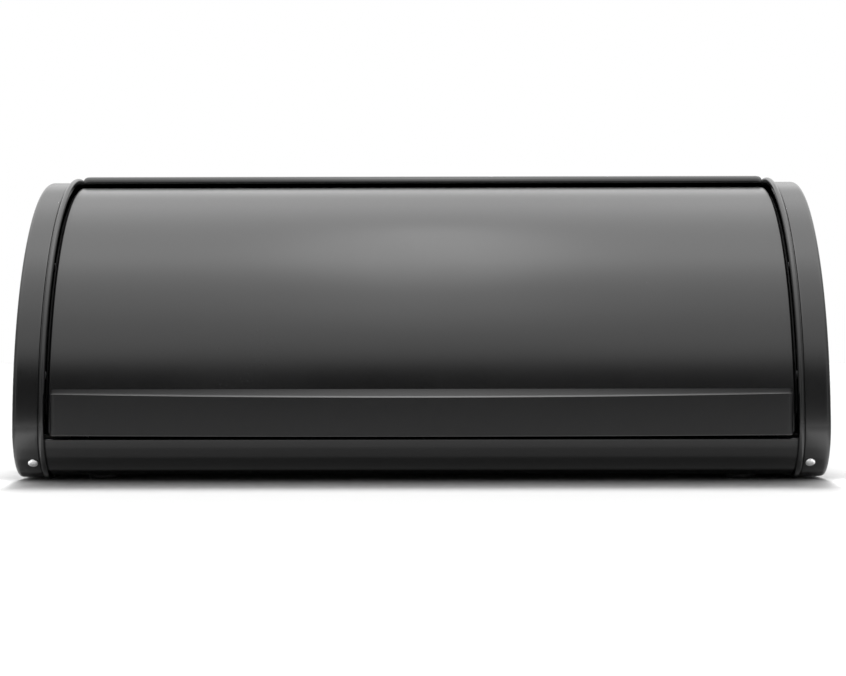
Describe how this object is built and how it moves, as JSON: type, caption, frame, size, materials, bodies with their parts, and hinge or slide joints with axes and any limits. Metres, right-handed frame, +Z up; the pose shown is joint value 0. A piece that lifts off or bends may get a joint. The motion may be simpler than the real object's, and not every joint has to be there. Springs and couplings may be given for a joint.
{
  "type": "bread bin",
  "caption": "Roll-top bread bin in matt black sheet steel, with D-shaped end caps, a flat top and a curved lid with a full-width grip that rolls up under the top.",
  "frame": {"origin": "on the table, under the middle of the bin's bounding box", "axes": "+X along the bin's width to its right, -Y towards the front, +Z up"},
  "size_m": [0.445, 0.263, 0.1755],
  "materials": {
    "sheet_black": "matt powder coat",
    "grip_black": "matt",
    "bright_steel": "bright dome",
    "dull_steel": "plain",
    "foot_rubber": "matt",
    "bush_plastic": "plain"
  },
  "bodies": {
    "body": {"back_top_panel": "sheet_black", "base_panel": "sheet_black", "cap_rivet_front_left": "bright_steel", "cap_rivet_front_right": "bright_steel", "cap_rivet_rear_high_left": "bright_steel", "cap_rivet_rear_high_right": "bright_steel", "cap_rivet_rear_low_left": "bright_steel", "cap_rivet_rear_low_right": "bright_steel", "end_cap_left": "sheet_black", "end_cap_right": "sheet_black", "foot_front_left": "foot_rubber", "foot_front_right": "foot_rubber", "foot_rear_left": "foot_rubber", "foot_rear_right": "foot_rubber", "pivot_clip_left": "dull_steel", "pivot_clip_right": "dull_steel", "pivot_pin_left": "dull_steel", "pivot_pin_right": "dull_steel", "seam_rivet_left": "bright_steel", "seam_rivet_middle": "bright_steel", "seam_rivet_right": "bright_steel", "stop_pin_closed_left": "dull_steel", "stop_pin_closed_right": "dull_steel", "stop_pin_open_left": "dull_steel", "stop_pin_open_right": "dull_steel"},
    "lid": {"arm_rivet_left_1": "dull_steel", "arm_rivet_left_2": "dull_steel", "arm_rivet_left_3": "dull_steel", "arm_rivet_right_1": "dull_steel", "arm_rivet_right_2": "dull_steel", "arm_rivet_right_3": "dull_steel", "handle_screw_1": "dull_steel", "handle_screw_2": "dull_steel", "handle_screw_3": "dull_steel", "handle_screw_4": "dull_steel", "lid_arm_left": "sheet_black", "lid_arm_right": "sheet_black", "lid_handle": "grip_black", "lid_panel": "sheet_black", "pivot_bush_left": "bush_plastic", "pivot_bush_right": "bush_plastic"}
  },
  "joints": [
    {"name": "lid_roll", "type": "hinge", "parent": "body", "child": "lid", "pos_m": [0, 0.018, 0.0246], "axis": [-1, 0, 0], "range_deg": [0, 45]}
  ]
}
